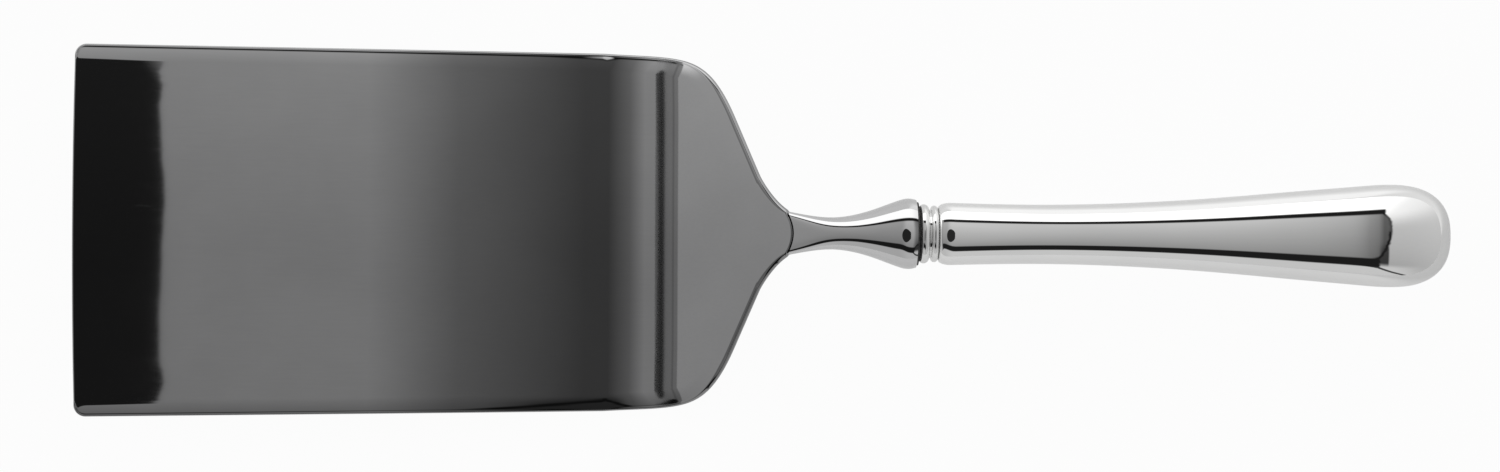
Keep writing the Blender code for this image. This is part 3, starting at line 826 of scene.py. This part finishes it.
def handle_curve(points, squareness):
    """Half the handle's size along its length: a rounded mouth, a smooth body and a domed end."""
    body = spline(points, end_slope=0.0)
    (first_x, first), (last_x, last) = points[0], points[-1]
    first_slope = (body(first_x + LIP_PROBE) - first) / LIP_PROBE

    def half_size(x, inset):
        if x < first_x:
            lip = sqrt(max(0.0, 1 - ((first_x - x) / (first_x - HANDLE_START_X)) ** 2))
            straight = first + first_slope * (x - first_x)
            return HANDLE_LIP_HALF + (straight - HANDLE_LIP_HALF) * lip - inset
        if x <= last_x:
            return body(x) - inset
        part = min((x - last_x) / (HALF_LENGTH - last_x - inset), 1.0)
        return (last - inset) * (1 - part**squareness) ** (1 / squareness)

    return half_size


handle_half = handle_curve(HANDLE_OUTLINE, PLAN_END_SQUARENESS)
handle_high = handle_curve(HANDLE_HEIGHT, SIDE_END_SQUARENESS)
body_x = HANDLE_HEIGHT[0][0]
dome_x = HANDLE_HEIGHT[-1][0]


def handle_rows():
    """Places along the handle: x on the body, share of the dome, and depth of the rolled lip."""
    quarter = spread(0.0, pi / 2, LIP_ROWS)
    lip = [(HANDLE_START_X + WALL / 2 * (1 - cos(turn)), 0.0, 1 - sin(turn)) for turn in quarter]
    mouth = spread(lip[-1][0], body_x, MOUTH_ROWS)[1:]
    body = spread(body_x, dome_x, BODY_ROWS)[1:]
    dome = [(dome_x, sin(turn), 0.0) for turn in spread(0.0, pi / 2, DOME_ROWS)[1:]]
    return lip + [(x, 0.0, 0.0) for x in mouth + body] + dome


def handle_section():
    """Points round a handle half: side of the wall, and turn from seam to seam."""
    turns = [*SEAM_TURNS, *spread(HALF_TURN_START, pi - HALF_TURN_START, HALF_TURN_STEPS)]
    turns += [pi - turn for turn in reversed(SEAM_TURNS)]
    return [("outer", turn) for turn in turns] + [("inner", turn) for turn in reversed(turns)]


def handle_point(row, side, wall_side, turn):
    """One point of a handle half."""
    x, dome, lip = row
    inset = WALL * lip / 2 if wall_side == "outer" else WALL * (1 - lip / 2)
    if dome:
        x = dome_x + (HALF_LENGTH - dome_x - inset) * dome
    half, high = handle_half(x, inset), handle_high(x, inset)
    seam = min(SEAM_GAP / 2, high)
    return Vector((x, half * cos(turn), side * (seam + (high - seam) * abs(sin(turn)))))


def handle_shell(name, side):
    """The upper half of the handle for side 1, the lower half for side -1."""
    rows = handle_rows()
    section = handle_section()
    return rolled(name, len(section), len(rows), lambda i, j: handle_point(rows[j], side, *section[i]))


silver = polished_metal("handle_silver", HANDLE_BRIGHT, HANDLE_TARNISH, HANDLE_GLOSS, HANDLE_GRAIN)
for node, side in (("upper_handle_shell", 1), ("lower_handle_shell", -1)):
    dress(handle_shell("silver_" + node, side), silver, "handle_silver", node)

# Filler
# Sandy cement poured into the handle to hold the tang. It is sealed inside, so the solid of the frame
# stays as it is and only gets its finish.
CEMENT_PALE = (0.52, 0.49, 0.45, 1.0)
CEMENT_DARK = (0.40, 0.37, 0.33, 1.0)
SAND_SCALE = 900.0
SAND_TONE = (0.35, 0.70)
SAND_ROUGHNESS = (0.72, 0.92)
SAND_HEIGHT = 0.0002
SAND_STRENGTH = 0.6

cement, shader, place = new_material("filler_cement")
sand = place.noise(SAND_SCALE, 6.0)
sand.step(*SAND_TONE).mix(CEMENT_DARK, CEMENT_PALE).feed(shader, "Base Color")
sand.between(*SAND_ROUGHNESS).feed(shader, "Roughness")
sand.relief(SAND_HEIGHT, SAND_STRENGTH).feed(shader, "Normal")
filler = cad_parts["handle_filler"]
filler.data.materials.clear()
filler.data.materials.append(cement)

# Table
# A plain white table top just under the server, which keeps a faint shadow of it. In the metal's
# reflections it glows with painted light, brightest on the far side of the handle, and painted shade
# darkens it everywhere else.
TABLE_SIZE = 6.0
TABLE_DROP = 0.00005
TABLE_WHITE = (0.9, 0.9, 0.9, 1.0)
TABLE_GLOW = 0.96
NEAR_GLOW = 0.42
FAR_GLOW = 0.95
FAR_LEFT_GLOW = 0.50
RIGHT_GLOW = 0.22
FAR_RIGHT_GLOW = 0.60
FAR_GLOW_FROM_Y = (0.015, 0.045)
FAR_GLOW_FROM_X = (0.024, 0.040)
FAR_RIGHT_GLOW_FROM_Y = (0.0, 0.04)
RIGHT_GLOW_FROM_X = (0.118, 0.135)
PURE_WHITE = (1.0, 1.0, 1.0, 1.0)

bpy.ops.object.select_all(action="DESELECT")
bpy.ops.mesh.primitive_plane_add(size=TABLE_SIZE)
table = bpy.context.object
table.name = "table_top"
bpy.ops.object.mode_set(mode="EDIT")
bpy.ops.mesh.select_all(action="SELECT")
bpy.ops.transform.translate(value=(0.0, 0.0, -TABLE_DROP))
bpy.ops.object.mode_set(mode="OBJECT")
table_white = bpy.data.materials.new("table_white")
table_white.use_nodes = True
table_white.node_tree.nodes.clear()
graph = Flow(table_white.node_tree)
place = graph.add("ShaderNodeTexCoord", output="Object")
table_x, table_y = place.part("X"), place.part("Y")
# Painted light and shade, seen only in reflections: brightest far of the handle, darker on the near side,
# beside the bell and blade, and past the handle's end.
far_glow = table_x.step(*FAR_GLOW_FROM_X).between(FAR_LEFT_GLOW, FAR_GLOW)
left_glow = table_y.step(*FAR_GLOW_FROM_Y).between(NEAR_GLOW, far_glow)
right_glow = table_y.step(*FAR_RIGHT_GLOW_FROM_Y).between(RIGHT_GLOW, FAR_RIGHT_GLOW)
mirror_glow = table_x.step(*RIGHT_GLOW_FROM_X).between(left_glow, right_glow)
seen = graph.add("ShaderNodeLightPath", output="Is Camera Ray")
mirrored = graph.add("ShaderNodeLightPath", output="Is Glossy Ray")
share = graph.math("MAXIMUM", seen * TABLE_GLOW, mirrored * mirror_glow)
matt = graph.add("ShaderNodeBsdfDiffuse", None, {"Color": TABLE_WHITE})
glow = graph.add("ShaderNodeEmission", None, {"Color": PURE_WHITE, "Strength": 1.0})
both = graph.add("ShaderNodeMixShader", None, {0: share, 1: matt, 2: glow})
graph.add("ShaderNodeOutputMaterial", None, {"Surface": both})
table.data.materials.append(table_white)

# Studio
# A soft light tent: a grey canopy with dark seams overhead, a dark opening for the camera, a bright
# far side and pale walls. Angles are in degrees from straight up, towards +X and towards +Y.
world = bpy.data.worlds.new("light_tent")
bpy.context.scene.world = world
world.use_nodes = True
world.node_tree.nodes.clear()
graph = Flow(world.node_tree)
direction = graph.add("ShaderNodeTexCoord", output="Generated")
to_x, to_y, to_z = (direction.part(axis) for axis in "XYZ")
in_degrees = 180 / pi
angle_x = graph.math("ARCTAN2", to_x, to_z + 1.0) * (2 * in_degrees)
angle_y = graph.math("ARCTAN2", to_y, to_z + 1.0) * (2 * in_degrees)
turn_right = graph.math("ARCTAN2", to_x, to_y) * in_degrees
lean_far = graph.math("ARCSINE", to_y) * in_degrees


def past(angle, limit, soft):
    """0 before an angle and 1 past it, with a soft edge."""
    return angle.step(limit - soft, limit + soft)


def within(angle, limits, soft):
    """1 between two angles, with soft edges."""
    low, high = limits
    return past(angle, low, soft) * (1 - past(angle, high, soft))


# The opening is an oval with a slightly wavy straight side on the right.
OPENING_MIDDLE = (-5.7, -6.0)
OPENING_HALF = (8.6, 22.5)
OPENING_EDGE = (0.95, 1.05)
OPENING_RIGHT = (2.115, 2.14)
OPENING_WAVE = 0.16
OPENING_WAVE_SCALE = 60.0
OPENING_LEVEL = 0.021

share_x = (angle_x - OPENING_MIDDLE[0]) * (1 / OPENING_HALF[0])
share_y = (angle_y - OPENING_MIDDLE[1]) * (1 / OPENING_HALF[1])
from_middle = share_x * share_x + share_y * share_y
opening_end = angle_x + (direction.noise(OPENING_WAVE_SCALE, 2.0) - 0.5) * OPENING_WAVE
opening = (1 - from_middle.step(*OPENING_EDGE)) * (1 - opening_end.step(*OPENING_RIGHT))

# The canopy ends on the right in a ragged bow with a cut far corner. Its near side sags on the left.
SHEET_LEFT = -46.0
SHEET_LEFT_SOFT = 0.8
SHEET_RIGHT_SOFT = 1.0
SHEET_SIDE_SOFT = 2.0
CANOPY_RIGHT = 20.0
CANOPY_NEAR = -46.0
CANOPY_FAR = 43.0
SEAM_RIGHT = 22.5
SEAM_NEAR = -66.5
SEAM_FAR = 54.0
NEAR_SAG = 11.0
NEAR_SAG_FROM_X = (-44.0, -28.0)
NEAR_SAG_TO_X = (-24.0, 9.0)
RAGGED = 2.2
RAGGED_SCALE = 9.0
END_BOW = (0.00298, 0.0693)
END_BOW_FAR = 36.0
FAR_CORNER_Y = (30.0, 43.0)
FAR_CORNER_CUT = 3.6

near_y = angle_y - (1 - angle_x.step(*NEAR_SAG_TO_X)) * angle_x.step(*NEAR_SAG_FROM_X) * NEAR_SAG
bow_y = graph.add("ShaderNodeClamp", None, {"Value": angle_y, "Min": CANOPY_NEAR, "Max": END_BOW_FAR})
corner = angle_y.ramp(*FAR_CORNER_Y)
ragged_x = angle_x + (direction.noise(RAGGED_SCALE, 1.0) - 0.5) * RAGGED
ragged_x = ragged_x + bow_y * (bow_y * END_BOW[0] - END_BOW[1]) + corner * corner * FAR_CORNER_CUT


def sheet_overhead(right, near, far):
    """1 on a sheet overhead that ends at the given angles on the right, near and far sides."""
    across = past(angle_x, SHEET_LEFT, SHEET_LEFT_SOFT) * (1 - past(ragged_x, right, SHEET_RIGHT_SOFT))
    return across * past(near_y, near, SHEET_SIDE_SOFT) * (1 - past(angle_y, far, SHEET_SIDE_SOFT))


canopy = sheet_overhead(CANOPY_RIGHT, CANOPY_NEAR, CANOPY_FAR)
tent = sheet_overhead(SEAM_RIGHT, SEAM_NEAR, SEAM_FAR)

# The canopy is brightest in the middle, with a fold on the left, and dims to the right and near sides.
CANOPY_LEVELS = (0.33, 0.47)
CANOPY_LEVELS_X = (-17.0, -2.0)
CANOPY_DIMS = ((5.5, 10.0, 0.235), (10.0, 16.4, 0.14))
CANOPY_TILT = 0.0075
LEFT_FOLD = (-36.5, -32.0)
LEFT_FOLD_SOFT = 0.8
LEFT_FOLD_DIM = 0.09
RIGHT_END_X = (11.0, 16.0)
NEAR_CORNER_Y = (-34.0, -8.0)
NEAR_CORNER_DIM = 0.6

canopy_light = angle_x.step(*CANOPY_LEVELS_X).between(*CANOPY_LEVELS)
canopy_light = canopy_light - within(angle_x, LEFT_FOLD, LEFT_FOLD_SOFT) * LEFT_FOLD_DIM
for start, end, fall in CANOPY_DIMS:
    canopy_light = canopy_light - angle_x.ramp(start, end) * fall
at_right_end = angle_x.step(*RIGHT_END_X)
near_corner = at_right_end * (1 - angle_y.step(*NEAR_CORNER_Y))
canopy_light = canopy_light * (angle_y * CANOPY_TILT + 1.0) * (1 - near_corner * NEAR_CORNER_DIM)

# The seams round the canopy are nearly black, a little lighter at the right end and grey on the left.
SEAM_LEVEL = 0.012
SEAM_END_LEVEL = 0.06
SEAM_END_Y = (8.0, 41.0)
SEAM_END_SOFT = 3.0
SEAM_LEFT_LEVEL = 0.30
SEAM_LEFT_X = (-40.0, -34.0)
SEAM_LEFT_SHIFT = 7.0
SEAM_LEFT_SHIFT_Y = (-10.0, 10.0)

seam_light = SEAM_LEVEL + at_right_end * within(angle_y, SEAM_END_Y, SEAM_END_SOFT) * SEAM_END_LEVEL
shifted_x = angle_x - angle_y.step(*SEAM_LEFT_SHIFT_Y) * SEAM_LEFT_SHIFT
seam_light = shifted_x.step(*SEAM_LEFT_X).between(SEAM_LEFT_LEVEL, seam_light)

# The walls are pale, brightest on the far side, with a dark corner seam and a dark patch near the right.
SIDE_LEVELS = (0.60, 0.50)
SIDE_LEVELS_X = (-30.0, 20.0)
SIDE_TILT = 0.004
SIDE_LIFT = 0.04
SIDE_LIFT_X = (25.0, 80.0)
FAR_FROM = (10.0, 45.0)
FAR_LIFT = 0.45
FAR_LIFT_TO = (0.0, 30.0)
FAR_WHITE_TO = (10.0, 100.0)
NEAR_FROM = (-68.0, -56.0)
NEAR_LEVELS = (0.50, 0.58)
NEAR_LEVELS_X = (-30.0, 5.0)
NEAR_RIGHT_FROM = (0.0, 1.0)
NEAR_RIGHT_TO = (130.0, 165.0)
CORNER_SEAM = (158.0, 161.5)
CORNER_SEAM_SLANT = 30.0
CORNER_SEAM_SOFT = 0.6
PATCH_X = (11.0, 20.3)
PATCH_X_SOFT = 1.0
PATCH_Y = (-60.0, -20.0)
PATCH_Y_SOFT = 6.0
WALL_DIM = 0.9

far = lean_far.step(*FAR_FROM)
near = 1 - near_y.step(*NEAR_FROM)
side = angle_x.step(*SIDE_LEVELS_X).between(*SIDE_LEVELS)
side = side * (lean_far * SIDE_TILT + 1.0) + angle_x.step(*SIDE_LIFT_X) * SIDE_LIFT
far_light = turn_right.step(*FAR_WHITE_TO).between(1.0, side)
far_light = far_light + (1 - turn_right.step(*FAR_LIFT_TO)) * FAR_LIFT
near_right = turn_right.step(*NEAR_RIGHT_FROM) * (1 - turn_right.step(*NEAR_RIGHT_TO))
near_light = near_right.between(angle_x.step(*NEAR_LEVELS_X).between(*NEAR_LEVELS), side)
walls = side * (1 - far) * (1 - near) + far * far_light + near * near_light
corner_seam = within(turn_right - to_z * CORNER_SEAM_SLANT, CORNER_SEAM, CORNER_SEAM_SOFT)
patch = within(angle_x, PATCH_X, PATCH_X_SOFT) * within(angle_y, PATCH_Y, PATCH_Y_SOFT)
walls = walls * (1 - corner_seam * WALL_DIM) * (1 - patch * WALL_DIM)

light = walls * (1 - tent) + (tent - canopy) * seam_light + canopy * canopy_light
light = opening.between(light, OPENING_LEVEL)
light = graph.add("ShaderNodeLightPath", output="Is Camera Ray").between(light, 1.0)
sky = graph.add("ShaderNodeBackground", None, {"Color": PURE_WHITE, "Strength": light})
graph.add("ShaderNodeOutputWorld", None, {"Surface": sky})

# Camera
# It looks straight down from a metre above the table. It is turned by a quarter of a degree, so that the
# server lies across the picture as it does in the photograph.
CAMERA_HEIGHT = 1.0
PICTURE_WIDTH = 0.2763
PICTURE_MIDDLE = (-0.0023, -0.00054)
SERVER_LEVEL = 0.010
SENSOR_WIDTH = 36.0
CAMERA_TURN = 0.0045
CLIP_START = 0.01

bpy.ops.object.camera_add(location=(*PICTURE_MIDDLE, CAMERA_HEIGHT), rotation=(0.0, 0.0, CAMERA_TURN))
camera = bpy.context.object
camera.data.sensor_width = SENSOR_WIDTH
camera.data.lens = SENSOR_WIDTH * (CAMERA_HEIGHT - SERVER_LEVEL) / PICTURE_WIDTH
camera.data.clip_start = CLIP_START
bpy.context.scene.camera = camera
